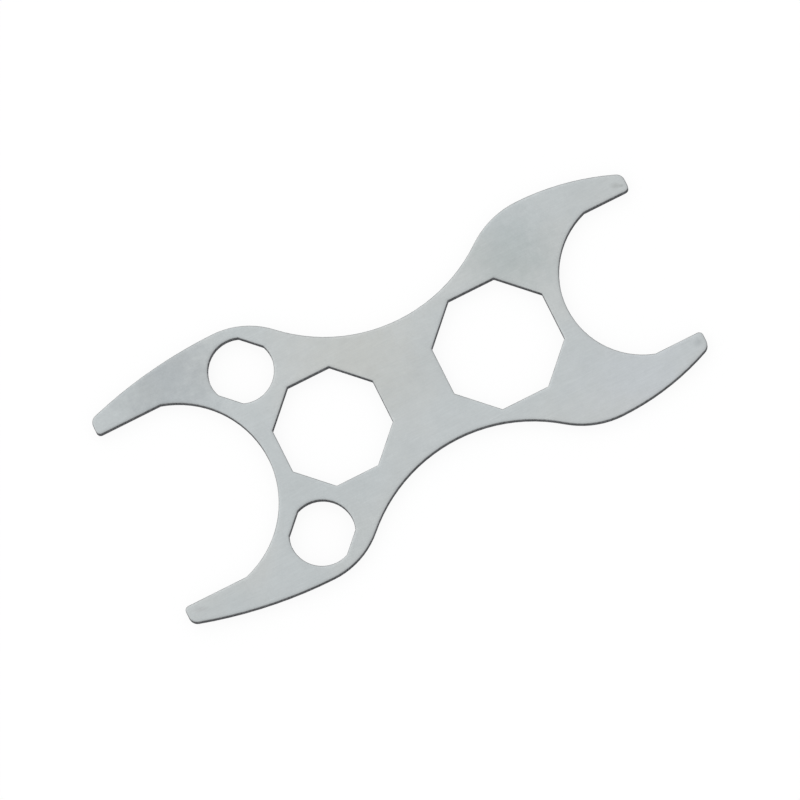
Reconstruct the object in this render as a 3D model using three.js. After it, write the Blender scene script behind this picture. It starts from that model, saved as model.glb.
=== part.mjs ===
import * as THREE from 'three';

// Flat plate spanner stamped from one sheet steel blank, in millimetres. It lies on z = 0, with +X
// along the plate towards the narrow jaw and +Y across it. Both halves across the X axis are alike.

// Sheet
const plateThickness = 4;
const edgeRadius = 0.2; // tumbled edge round both faces
const edgeFacets = 3;
const chordError = 0.02; // how far a facet may lie from its true arc

// Open jaws
const wideJaw = 50; // nut across flats
const narrowJaw = 41;
const jawClearance = 1.1; // mouth wider than the nut
const throatRelief = 1.1; // throat radius past the half mouth
const wideFaceLength = 18.25; // parallel gripping faces, throat to tip
const narrowFaceLength = 13.45;
const tipWidth = 4.5;
const tipInnerRadius = 1.2;
const tipOuterRadius = 2.4;

// Octagonal rings in the middle
const smallRing = 29; // nut across flats
const largeRing = 32;
const ringClearance = 0.3; // opening wider than the nut
const web = 4.25; // metal left beside a ring, towards a throat or a key hole
const bridge = 17.7; // metal between the two rings

// Key holes in the wide jaw's shoulders, round with two flats
const keyHole = 17.5; // across the round
const keyFlatDepth = 0.73;
const keyFlatAngle = 45; // degrees from +X to a flat's normal
const keyWeb = 4.2; // metal between a key hole's flat and the throat
const keyShoulderWall = 3.25; // metal outside a key hole

// Outer edge
const wideShoulderRadius = 21.9;
const narrowShoulderRadius = 24.2;
const narrowCheek = 10.5; // metal beside the narrow mouth, at the shoulder
const waistRadius = 43.5;
const waistOffset = 4.6; // from the bridge's middle towards the large ring
const waistWall = 3.4; // metal outside the large ring's corners

const point = (x, y) => new THREE.Vector2(x, y);
const angleTo = (from, to) => Math.atan2(to.y - from.y, to.x - from.x);
const octagonCorner = (acrossFlats) => (acrossFlats / 2) * Math.tan(Math.PI / 8);

function arc(centre, radius, start, end) {
  const largestStep = 2 * Math.acos(1 - chordError / radius);
  const steps = Math.max(2, Math.ceil(Math.abs(end - start) / largestStep));
  return Array.from({ length: steps + 1 }, (_, i) => {
    const angle = start + ((end - start) * i) / steps;
    return point(centre.x + radius * Math.cos(angle), centre.y + radius * Math.sin(angle));
  });
}

// Where a circle round a meets a circle round b, on the left of the line from a to b.
function meet(a, radiusA, b, radiusB) {
  const gap = a.distanceTo(b);
  const along = (radiusA ** 2 - radiusB ** 2 + gap ** 2) / (2 * gap);
  const aside = Math.sqrt(radiusA ** 2 - along ** 2);
  const direction = b.clone().sub(a).divideScalar(gap);
  return point(
    a.x + direction.x * along - direction.y * aside,
    a.y + direction.y * along + direction.x * aside,
  );
}

// Mirror images, across the Y axis in the same order, and across the X axis in the order that keeps a
// loop turning the same way
const mirrorX = (points) => points.map((p) => point(-p.x, p.y));
const mirrorY = (points) => points.map((p) => point(p.x, -p.y)).reverse();

// One closed loop from runs of points, without the points that two runs share.
function loop(...runs) {
  const points = runs.flat();
  const sameSpot = chordError / 10;
  return points.filter((p, i) => p.distanceTo(points.at(i - 1)) > sameSpot);
}

// A mouth has two parallel faces. Its throat is a wider arc, so that a nut's corners stay clear of it.
function mouth(nut, faceLength) {
  const half = (nut + jawClearance) / 2;
  const throatRadius = half + throatRelief;
  const throatDepth = throatRadius - Math.sqrt(throatRadius ** 2 - half ** 2);
  return { half, throatRadius, depth: throatDepth + faceLength };
}

// Places along the plate, from the wide jaw's tips to the narrow jaw's
const wideMouth = mouth(wideJaw, wideFaceLength);
const narrowMouth = mouth(narrowJaw, narrowFaceLength);
const smallOpening = smallRing + ringClearance;
const largeOpening = largeRing + ringClearance;
const plateLength =
  wideMouth.depth + web + smallOpening + bridge + largeOpening + web + narrowMouth.depth;
const tipX = plateLength / 2;
const wideApexX = wideMouth.depth - tipX;
const smallRingX = wideApexX + web + smallOpening / 2;
const bridgeX = smallRingX + smallOpening / 2 + bridge / 2;
const largeRingX = bridgeX + bridge / 2 + largeOpening / 2;

// The waist curve passes the large ring's nearer corner at waistWall.
const largeCorner = point(largeRingX - octagonCorner(largeOpening), largeOpening / 2);
const waistX = bridgeX + waistOffset;
const waist = point(
  waistX,
  largeCorner.y + Math.sqrt((waistRadius + waistWall) ** 2 - (largeCorner.x - waistX) ** 2),
);

// A key hole sits between the wide throat and the small ring's corner.
const keyRadius = keyHole / 2;
const wideThroat = point(wideApexX - wideMouth.throatRadius, 0);
const smallCorner = point(smallRingX - octagonCorner(smallOpening), smallOpening / 2);
const keyCentre = meet(
  wideThroat,
  wideMouth.throatRadius + keyWeb + keyRadius - keyFlatDepth,
  smallCorner,
  web + keyRadius,
);
const wideShoulderTop = keyCentre.y + keyRadius + keyShoulderWall;
const narrowShoulderTop = narrowMouth.half + narrowCheek;

// Upper half of one end, with +x out of its mouth: from the throat's apex along the gripping face,
// round the tip, and back along the bowed arm and over the shoulder to the waist.
function jawSide(jaw, shoulderTop, shoulderRadius, waistCentre) {
  const throat = point(tipX - jaw.depth + jaw.throatRadius, 0);
  const faceAngle = Math.PI - Math.asin(jaw.half / jaw.throatRadius);

  const shoulderY = shoulderTop - shoulderRadius;
  const waistReach = Math.sqrt(
    (shoulderRadius + waistRadius) ** 2 - (waistCentre.y - shoulderY) ** 2,
  );
  const shoulder = point(waistCentre.x + waistReach, shoulderY);

  const armReach = tipX - shoulder.x;
  const armDrop = shoulderTop - jaw.half - tipWidth;
  const armRadius = (armReach ** 2 + armDrop ** 2) / (2 * armDrop);
  const arm = point(shoulder.x, shoulderTop - armRadius);

  // Both roundings have to fit on the end of the tip.
  const rounding = Math.min(1, tipWidth / (tipInnerRadius + tipOuterRadius));
  const innerRadius = tipInnerRadius * rounding;
  const outerRadius = tipOuterRadius * rounding;
  const inner = point(tipX - innerRadius, jaw.half + innerRadius);
  const outerX = tipX - outerRadius;
  const outer = point(
    outerX,
    arm.y + Math.sqrt((armRadius - outerRadius) ** 2 - (outerX - arm.x) ** 2),
  );
  const armAngle = angleTo(arm, outer);

  return [
    ...arc(throat, jaw.throatRadius, Math.PI, faceAngle),
    ...arc(inner, innerRadius, -Math.PI / 2, 0),
    ...arc(outer, outerRadius, 0, armAngle),
    ...arc(arm, armRadius, armAngle, Math.PI / 2),
    ...arc(shoulder, shoulderRadius, Math.PI / 2, angleTo(shoulder, waistCentre)),
  ];
}

function plateOutline() {
  const wideSide = mirrorX(
    jawSide(wideMouth, wideShoulderTop, wideShoulderRadius, point(-waist.x, waist.y)),
  );
  const narrowSide = jawSide(narrowMouth, narrowShoulderTop, narrowShoulderRadius, waist);
  const waistStart = angleTo(waist, wideSide.at(-1));
  const waistEnd = angleTo(waist, narrowSide.at(-1));
  const upper = [
    ...wideSide,
    ...arc(waist, waistRadius, waistStart, waistEnd),
    ...narrowSide.reverse(),
  ];
  return loop(upper, mirrorY(upper));
}

function octagon(centreX, acrossFlats) {
  const cornerRadius = acrossFlats / 2 / Math.cos(Math.PI / 8);
  return Array.from({ length: 8 }, (_, i) => {
    const angle = ((i + 0.5) * Math.PI) / 4;
    return point(centreX + cornerRadius * Math.cos(angle), cornerRadius * Math.sin(angle));
  });
}

function keyOutline() {
  const normal = THREE.MathUtils.degToRad(keyFlatAngle);
  const halfFlat = Math.acos(1 - keyFlatDepth / keyRadius);
  return loop(
    arc(keyCentre, keyRadius, normal + halfFlat, normal + Math.PI - halfFlat),
    arc(keyCentre, keyRadius, normal + Math.PI + halfFlat, normal + 2 * Math.PI - halfFlat),
  );
}

function spannerPlate() {
  const blank = new THREE.Shape(plateOutline());
  const openings = [
    octagon(smallRingX, smallOpening),
    octagon(largeRingX, largeOpening),
    keyOutline(),
    mirrorY(keyOutline()),
  ];
  blank.holes = openings.map((points) => new THREE.Path(points));
  const geometry = new THREE.ExtrudeGeometry(blank, {
    depth: plateThickness - 2 * edgeRadius,
    bevelThickness: edgeRadius,
    bevelSize: edgeRadius,
    bevelOffset: -edgeRadius,
    bevelSegments: edgeFacets,
  });
  geometry.translate(0, 0, edgeRadius);
  const steel = new THREE.MeshStandardMaterial({ color: 0xbdc1c1, roughness: 0.42, metalness: 1 });
  const mesh = new THREE.Mesh(geometry, steel);
  mesh.name = 'spanner_plate';
  return mesh;
}

const spanner = new THREE.Group();
spanner.add(spannerPlate());

export default spanner;
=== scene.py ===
import math

import bpy
from mathutils import Matrix, Vector


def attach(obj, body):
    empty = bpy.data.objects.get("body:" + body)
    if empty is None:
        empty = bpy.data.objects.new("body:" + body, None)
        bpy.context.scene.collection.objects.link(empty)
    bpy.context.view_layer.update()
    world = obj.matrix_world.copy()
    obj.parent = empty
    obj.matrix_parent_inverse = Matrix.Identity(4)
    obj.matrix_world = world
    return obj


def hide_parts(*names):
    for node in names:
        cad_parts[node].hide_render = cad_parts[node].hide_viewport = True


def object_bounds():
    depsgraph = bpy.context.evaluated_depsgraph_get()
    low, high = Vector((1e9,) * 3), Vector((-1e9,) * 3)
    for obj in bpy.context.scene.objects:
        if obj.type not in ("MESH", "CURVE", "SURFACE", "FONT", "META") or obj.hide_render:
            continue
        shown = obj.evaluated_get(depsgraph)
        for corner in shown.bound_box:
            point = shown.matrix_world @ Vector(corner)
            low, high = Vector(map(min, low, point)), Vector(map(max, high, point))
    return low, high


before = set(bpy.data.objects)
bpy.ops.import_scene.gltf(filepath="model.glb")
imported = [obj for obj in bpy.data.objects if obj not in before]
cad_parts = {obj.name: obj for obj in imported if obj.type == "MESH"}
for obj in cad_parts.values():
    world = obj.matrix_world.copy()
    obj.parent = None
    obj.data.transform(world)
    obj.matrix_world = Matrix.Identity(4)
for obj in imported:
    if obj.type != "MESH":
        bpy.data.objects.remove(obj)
cadLow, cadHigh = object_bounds()
scene = bpy.context.scene
scene.view_settings.view_transform = "Standard"
mm = 0.001
print("frame loaded, box in mm", [round(size / mm, 2) for size in cadHigh - cadLow])


# camera

camera = {
    "azimuth": -9.0,  # degrees, round from the plate's -Y side
    "elevation": 81.4,
    "turn": 26.45,  # degrees that the plate's length climbs in the picture
    "distance": 4.0,
    "lookAt": (-1.838 * mm, -1.811 * mm),  # on the top face, in the middle of the picture
    "frameWidth": 209.85 * mm,  # across the picture, at the top face
    "sensor": 36.0,
    "clipEnd": 50.0,
}


def placeCamera():
    azimuth = math.radians(camera["azimuth"])
    elevation = math.radians(camera["elevation"])
    turn = math.radians(camera["turn"])
    level = math.cos(elevation)
    back = Vector((math.sin(azimuth) * level, -math.cos(azimuth) * level, math.sin(elevation)))
    right = Vector((math.sin(turn), math.cos(turn), 0)).cross(back).normalized()
    axes = Matrix((right, back.cross(right), back)).transposed().to_4x4()
    lookAt = Vector((*camera["lookAt"], cadHigh.z))
    bpy.ops.object.camera_add()
    eye = bpy.context.object
    eye.name = "pictureCamera"
    eye.matrix_world = Matrix.Translation(lookAt + back * camera["distance"]) @ axes
    eye.data.sensor_width = camera["sensor"]
    eye.data.lens = camera["sensor"] * camera["distance"] / camera["frameWidth"]
    eye.data.clip_end = camera["clipEnd"]
    scene.camera = eye


placeCamera()
print("camera placed")


# node helpers

noiseSpan = (0.3, 0.7)  # most of a noise's values lie between these
noiseMiddle = 0.5


def newFinish(name):
    material = bpy.data.materials.new(name)
    material.use_nodes = True
    tree = material.node_tree
    return material, tree, tree.nodes["Principled BSDF"]


def addNode(tree, kind, **settings):
    node = tree.nodes.new("ShaderNode" + kind)
    for key, value in settings.items():
        setattr(node, key, value)
    return node


def objectPlace(tree):
    return addNode(tree, "TexCoord").outputs["Object"]


def feed(tree, socket, value):
    if isinstance(value, bpy.types.NodeSocket):
        tree.links.new(value, socket)
    else:
        socket.default_value = value


def calc(tree, operation, *values):
    node = addNode(tree, "Math", operation=operation)
    for socket, value in zip(node.inputs, values):
        feed(tree, socket, value)
    return node.outputs[0]


def vectorCalc(tree, operation, first, second=None):
    node = addNode(tree, "VectorMath", operation=operation)
    feed(tree, node.inputs[0], first)
    if second is not None:
        feed(tree, node.inputs["Scale" if operation == "SCALE" else 1], second)
    return node.outputs["Value" if operation in ("LENGTH", "DOT_PRODUCT") else "Vector"]


def noise(tree, place, scale, detail=3.0, output="Fac"):
    node = addNode(tree, "TexNoise")
    feed(tree, node.inputs["Vector"], place)
    node.inputs["Scale"].default_value = scale
    node.inputs["Detail"].default_value = detail
    return node.outputs[output]


def mapped(tree, place, scale, turn=0.0, shift=(0, 0, 0), kind="POINT"):
    node = addNode(tree, "Mapping", vector_type=kind)
    feed(tree, node.inputs["Vector"], place)
    node.inputs["Scale"].default_value = scale
    node.inputs["Rotation"].default_value = (0, 0, math.radians(turn))
    node.inputs["Location"].default_value = shift
    return node.outputs["Vector"]


def ranged(tree, value, low, high, toLow=0.0, toHigh=1.0):
    node = addNode(tree, "MapRange", interpolation_type="SMOOTHSTEP")
    for socket, number in zip(node.inputs, (value, low, high, toLow, toHigh)):
        feed(tree, socket, number)
    return node.outputs["Result"]


# 6, 7 and the output 2 are the mixing node's colour sockets
def mixed(tree, factor, first, second, blend="MIX"):
    node = addNode(tree, "Mix", data_type="RGBA", blend_type=blend)
    for index, value in ((0, factor), (6, first), (7, second)):
        feed(tree, node.inputs[index], (*value, 1) if isinstance(value, tuple) else value)
    return node.outputs[2]


def addBump(tree, shader, relief, finish):
    bump = addNode(tree, "Bump")
    bump.inputs["Strength"].default_value = finish["bumpStrength"]
    bump.inputs["Distance"].default_value = finish["bumpDepth"]
    feed(tree, bump.inputs["Height"], relief)
    feed(tree, shader.inputs["Normal"], bump.outputs["Normal"])


# finishes

satinFace = {
    "dull": (0.503, 0.531, 0.534),
    "bright": (0.523, 0.550, 0.553),
    "cool": (0.992, 1.0, 1.008),
    "warm": (1.008, 1.0, 0.993),
    "cloudSize": 26 * mm,
    "cloudSpan": (0.35, 0.65),
    "tintSize": 34 * mm,
    "tintSpan": (0.4, 0.6),
    "tintShift": (0.3, 0.1, 0.0),
    "mottleSize": 4 * mm,
    "mottleTone": (0.985, 1.015),
    "pitSize": 0.35 * mm,
    "grain": (240.0, 5600.0, 900.0),  # rolling lines run along the plate
    "grainTone": (0.98, 1.02),
    "grainDepth": 0.6,
    "scratches": (70.0, 5200.0, 300.0),
    "scratchTurn": 31.0,
    "scratchSpan": (0.70, 0.76),  # only the noise's peaks are scratches
    "scratchTone": 0.04,
    "scratchGloss": -0.08,
    "scratchDepth": -0.5,
    "roughness": 0.44,
    "roughSpread": 0.04,
    "bumpStrength": 0.12,
    "bumpDepth": 0.02 * mm,
    "raggedScale": 420.0,
    "raggedness": 0.8,  # share of a patch's short reach that its outline strays
    "patches": (  # x, y, long and short reach in mm, turn in degrees, change of colour
        (-54.0, 31.0, 22.0, 22.0, 0.0, (0.81, 0.82, 0.835)),
        (41.0, 19.0, 17.0, 17.0, 0.0, (0.875, 0.90, 0.895)),
        (58.0, -25.0, 26.0, 26.0, 0.0, (1.045, 1.04, 1.06)),
        (-7.5, 13.0, 22.0, 22.0, 0.0, (1.01, 0.995, 0.97)),
        (74.1, 23.6, 2.3, 1.2, -27.0, (0.83, 0.83, 0.82)),  # rub marks near the tips
        (75.6, 22.8, 1.1, 0.7, -20.0, (0.86, 0.86, 0.86)),
        (74.8, -23.4, 2.3, 1.6, 10.0, (0.86, 0.865, 0.87)),
        (-73.1, -27.9, 2.7, 1.2, -7.0, (0.90, 0.89, 0.89)),
    ),
}


def makeSatinFace():
    material, tree, shader = newFinish("satinFace")
    place = objectPlace(tree)

    cloud = ranged(tree, noise(tree, place, 1 / satinFace["cloudSize"]), *satinFace["cloudSpan"])
    colour = mixed(tree, cloud, satinFace["dull"], satinFace["bright"])
    tintPlace = mapped(tree, place, (1, 1, 1), shift=satinFace["tintShift"])
    tint = ranged(tree, noise(tree, tintPlace, 1 / satinFace["tintSize"]), *satinFace["tintSpan"])
    tintColour = mixed(tree, tint, satinFace["cool"], satinFace["warm"])
    colour = mixed(tree, 1.0, colour, tintColour, "MULTIPLY")

    # hand marks and stains have ragged outlines
    ragged = noise(tree, place, satinFace["raggedScale"], output="Color")
    ragged = vectorCalc(tree, "SUBTRACT", ragged, (noiseMiddle,) * 3)
    for x, y, long, short, turn, tone in satinFace["patches"]:
        wobble = vectorCalc(tree, "SCALE", ragged, short * satinFace["raggedness"] * mm)
        strayed = vectorCalc(tree, "ADD", place, wobble)
        middle = (x * mm, y * mm, cadHigh.z)
        spot = mapped(tree, strayed, (long * mm, short * mm, short * mm), turn, middle, "TEXTURE")
        mask = ranged(tree, vectorCalc(tree, "LENGTH", spot), 0.0, 1.0, 1.0, 0.0)
        colour = mixed(tree, mask, colour, tone, "MULTIPLY")

    mottle = noise(tree, place, 1 / satinFace["mottleSize"], detail=4.0)
    grain = noise(tree, mapped(tree, place, satinFace["grain"]), 1.0, detail=2.0)
    pits = noise(tree, place, 1 / satinFace["pitSize"], detail=2.0)
    scratchPlace = mapped(tree, place, satinFace["scratches"], turn=satinFace["scratchTurn"])
    scratch = noise(tree, scratchPlace, 1.0, detail=1.0)
    scratch = ranged(tree, scratch, *satinFace["scratchSpan"])
    mottleTone = ranged(tree, mottle, *noiseSpan, *satinFace["mottleTone"])
    grainTone = ranged(tree, grain, *noiseSpan, *satinFace["grainTone"])
    tone = calc(tree, "MULTIPLY", mottleTone, grainTone)
    tone = calc(tree, "MULTIPLY_ADD", scratch, satinFace["scratchTone"], tone)
    colour = vectorCalc(tree, "SCALE", colour, tone)
    feed(tree, shader.inputs["Base Color"], colour)

    roughness, spread = satinFace["roughness"], satinFace["roughSpread"]
    rough = ranged(tree, pits, *noiseSpan, roughness - spread, roughness + spread)
    rough = calc(tree, "MULTIPLY_ADD", scratch, satinFace["scratchGloss"], rough)
    feed(tree, shader.inputs["Roughness"], rough)
    relief = calc(tree, "MULTIPLY_ADD", grain, satinFace["grainDepth"], pits)
    relief = calc(tree, "MULTIPLY_ADD", scratch, satinFace["scratchDepth"], relief)
    addBump(tree, shader, relief, satinFace)
    shader.inputs["Metallic"].default_value = 1.0
    return material


cutEdge = {
    "burnished": (0.31, 0.318, 0.326),
    "broken": (0.18, 0.185, 0.191),
    "burnishedRoughness": 0.4,
    "brokenRoughness": 0.65,
    "paintedGrazingShade": (0.055, 0.055, 0.055),  # painted shade: darkens the cut edge's reflection at a grazing angle, so the edges seen from above show as a dark line
    "burnishedFrom": 2.7 * mm,  # height where the press stopped cutting and the sheet broke
    "blur": 0.08 * mm,
    "wander": 1.1 * mm,
    "wanderSize": 4 * mm,
    "wanderStretch": (1.0, 1.0, 0.1),
    "streaks": (3200.0, 3200.0, 140.0),
    "streakTone": (0.78, 1.22),
    "crumbScale": 2400.0,
    "crumbDepth": 1.5,
    "bumpStrength": 0.5,
    "bumpDepth": 0.05 * mm,
}


def makeCutEdge():
    material, tree, shader = newFinish("cutEdge")
    place = objectPlace(tree)
    height = addNode(tree, "SeparateXYZ")
    feed(tree, height.inputs[0], place)
    wanderPlace = mapped(tree, place, cutEdge["wanderStretch"])
    wander = noise(tree, wanderPlace, 1 / cutEdge["wanderSize"])
    wander = calc(tree, "SUBTRACT", wander, noiseMiddle)
    level = calc(tree, "MULTIPLY_ADD", wander, cutEdge["wander"], height.outputs["Z"])
    breakLine = cutEdge["burnishedFrom"]
    band = ranged(tree, level, breakLine - cutEdge["blur"], breakLine + cutEdge["blur"])
    streaks = noise(tree, mapped(tree, place, cutEdge["streaks"]), 1.0)
    crumbs = noise(tree, place, cutEdge["crumbScale"], detail=4.0)
    colour = mixed(tree, band, cutEdge["broken"], cutEdge["burnished"])
    streakTone = ranged(tree, streaks, *noiseSpan, *cutEdge["streakTone"])
    feed(tree, shader.inputs["Base Color"], vectorCalc(tree, "SCALE", colour, streakTone))
    rough = ranged(tree, band, 0.0, 1.0, cutEdge["brokenRoughness"], cutEdge["burnishedRoughness"])
    feed(tree, shader.inputs["Roughness"], rough)
    # painted shade: a dark edge tint darkens the cut edge's reflection at a grazing angle
    shader.inputs["Specular Tint"].default_value = (*cutEdge["paintedGrazingShade"], 1)
    torn = calc(tree, "MULTIPLY", crumbs, calc(tree, "SUBTRACT", 1.0, band))
    relief = calc(tree, "MULTIPLY_ADD", torn, cutEdge["crumbDepth"], streaks)
    addBump(tree, shader, relief, cutEdge)
    shader.inputs["Metallic"].default_value = 1.0
    return material


rubbedRim = {
    "colour": (0.40, 0.415, 0.42),
    "worn": (0.50, 0.515, 0.52),
    "wearSize": 2.5 * mm,
    "wearSpan": (0.35, 0.65),
    "roughness": 0.36,
    "roughSpread": 0.06,
}


def makeRubbedRim():
    material, tree, shader = newFinish("rubbedRim")
    place = objectPlace(tree)
    wear = noise(tree, place, 1 / rubbedRim["wearSize"], detail=4.0)
    wear = ranged(tree, wear, *rubbedRim["wearSpan"])
    colour = mixed(tree, wear, rubbedRim["colour"], rubbedRim["worn"])
    feed(tree, shader.inputs["Base Color"], colour)
    roughness, spread = rubbedRim["roughness"], rubbedRim["roughSpread"]
    rough = ranged(tree, wear, 0.0, 1.0, roughness + spread, roughness - spread)
    feed(tree, shader.inputs["Roughness"], rough)
    shader.inputs["Metallic"].default_value = 1.0
    return material


# the plate

plate = {
    "mergeWithin": 0.005 * mm,
    "flatWithin": 0.3,  # degrees between triangles that make one flat
    "anyShape": 180.0,  # degrees, so that no pair of triangles is left out for its shape
    "rimDepth": 0.2 * mm,  # height of the rounded rim on the solid
    "rollDrop": 0.045 * mm,  # how far the press drew the rim down
    "rollLoops": (  # width and climb of each loop, from the rim in
        (0.12 * mm, 0.021 * mm),
        (0.17 * mm, 0.014 * mm),
        (0.22 * mm, 0.007 * mm),
        (0.27 * mm, 0.003 * mm),
    ),
    "flatAbove": 0.999,  # upward part of the top face's normals
    "wallBelow": 0.80,  # steepest faces, the steeper rim facets among them, are cut edge with its painted grazing shade, which widens the dark edge line; the next ones rim
    "rimBelow": 0.983,
    "smoothAngle": 38.0,
}

faceSlot, wallSlot, rimSlot = range(3)  # order of the plate's finishes


def finishSlot(face):
    steepness = abs(face.normal.z)
    if steepness < plate["wallBelow"]:
        return wallSlot
    return rimSlot if steepness < plate["rimBelow"] else faceSlot


def selectFaces(piece, test):
    bpy.ops.object.mode_set(mode="OBJECT")
    mesh = piece.data
    for group in (mesh.vertices, mesh.edges, mesh.polygons):
        group.foreach_set("select", [False] * len(group))
    for face in mesh.polygons:
        face.select = test(face)
    bpy.ops.object.mode_set(mode="EDIT")


def refillFlat():
    bpy.ops.mesh.delete(type="FACE")
    bpy.ops.mesh.select_mode(type="EDGE")
    bpy.ops.mesh.select_non_manifold(extend=False)
    bpy.ops.mesh.fill()
    bpy.ops.mesh.select_mode(type="FACE")


def buildPlate():
    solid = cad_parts["spanner_plate"]
    piece = bpy.data.objects.new("stampedPlate", solid.data.copy())
    scene.collection.objects.link(piece)
    bpy.ops.object.select_all(action="DESELECT")
    piece.select_set(True)
    bpy.context.view_layer.objects.active = piece
    piece.data.materials.clear()
    for finish in (makeSatinFace(), makeCutEdge(), makeRubbedRim()):
        piece.data.materials.append(finish)

    bpy.ops.object.mode_set(mode="EDIT")
    bpy.ops.mesh.select_mode(type="FACE")
    bpy.ops.mesh.select_all(action="SELECT")
    bpy.ops.mesh.remove_doubles(threshold=plate["mergeWithin"])
    bpy.ops.mesh.tris_convert_to_quads(
        face_threshold=math.radians(plate["flatWithin"]),
        shape_threshold=math.radians(plate["anyShape"]),
    )

    # the press draws the upper rim down a little, and loops inside it climb back to the flat
    rimBase = cadHigh.z - plate["rimDepth"]
    rimLimit = rimBase - plate["mergeWithin"]
    corners = piece.data.vertices
    selectFaces(piece, lambda face: all(corners[i].co.z > rimLimit for i in face.vertices))
    bpy.ops.transform.resize(
        value=(1, 1, 1 - plate["rollDrop"] / plate["rimDepth"]), center_override=(0, 0, rimBase)
    )
    selectFaces(piece, lambda face: face.normal.z > plate["flatAbove"])
    for width, climb in plate["rollLoops"]:
        bpy.ops.mesh.inset(thickness=width, use_even_offset=True)
        bpy.ops.transform.translate(value=(0, 0, climb))
        refillFlat()
    bpy.ops.object.mode_set(mode="OBJECT")

    for face in piece.data.polygons:
        face.material_index = finishSlot(face)
    bpy.ops.object.shade_smooth_by_angle(angle=math.radians(plate["smoothAngle"]))
    evenNormals = piece.modifiers.new("evenNormals", "WEIGHTED_NORMAL")
    evenNormals.keep_sharp = True
    bpy.ops.object.modifier_apply(modifier=evenNormals.name)
    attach(piece, "root")
    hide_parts("spanner_plate")
    return piece


stampedPlate = buildPlate()
print("plate finished,", len(stampedPlate.data.polygons), "faces")


# floor and light

studio = {
    "floorSize": 8.0,
    "floorDrop": 0.05 * mm,  # under the plate, so that the two don't flicker
    "floorColour": (0.9, 0.9, 0.9),
    "floorRoughness": 0.9,
    "floorGlow": 1.035,
    "shadowShare": 0.13,  # part of the floor's look that takes light and shadow
    "skyFront": (0.68, 0.68, 0.69),
    "skyBack": (0.84, 0.84, 0.84),
    "skyBright": (-0.15, 0.75, 0.65),  # towards the brightest part
    "skySpan": (-0.6, 0.8),
    "keyPlace": (-0.3, 0.8, 1.4),
    "keySize": 1.4,
    "keyPower": 3.8,
}


def layFloor():
    bpy.ops.mesh.primitive_plane_add(size=studio["floorSize"], location=(0, 0, -studio["floorDrop"]))
    floor = bpy.context.object
    floor.name = "paleFloor"
    material, tree, shader = newFinish("paleFloor")
    shader.inputs["Base Color"].default_value = (*studio["floorColour"], 1)
    shader.inputs["Roughness"].default_value = studio["floorRoughness"]
    shader.inputs["Specular IOR Level"].default_value = 0.0
    glow = addNode(tree, "Emission")
    glow.inputs["Strength"].default_value = studio["floorGlow"]
    path = addNode(tree, "LightPath")
    seen = calc(tree, "MAXIMUM", path.outputs["Is Camera Ray"], path.outputs["Is Glossy Ray"])
    seen = calc(tree, "MAXIMUM", seen, path.outputs["Is Transmission Ray"])
    blend = addNode(tree, "MixShader")
    feed(tree, blend.inputs[0], calc(tree, "MULTIPLY", seen, 1 - studio["shadowShare"]))
    feed(tree, blend.inputs[1], shader.outputs[0])
    feed(tree, blend.inputs[2], glow.outputs[0])
    feed(tree, tree.nodes["Material Output"].inputs["Surface"], blend.outputs[0])
    floor.data.materials.append(material)


def lightStudio():
    scene.world = bpy.data.worlds.new("softStudio")
    scene.world.use_nodes = True
    tree = scene.world.node_tree
    direction = addNode(tree, "TexCoord").outputs["Generated"]
    towards = vectorCalc(tree, "DOT_PRODUCT", direction, Vector(studio["skyBright"]).normalized())
    share = ranged(tree, towards, *studio["skySpan"])
    sky = mixed(tree, share, studio["skyFront"], studio["skyBack"])
    feed(tree, tree.nodes["Background"].inputs["Color"], sky)

    bpy.ops.object.light_add(type="AREA", location=studio["keyPlace"])
    key = bpy.context.object
    key.name = "keySoftbox"
    key.data.size = studio["keySize"]
    key.data.energy = studio["keyPower"]
    key.rotation_euler = Vector(studio["keyPlace"]).to_track_quat("Z", "Y").to_euler()


layFloor()
lightStudio()
print("studio lit")
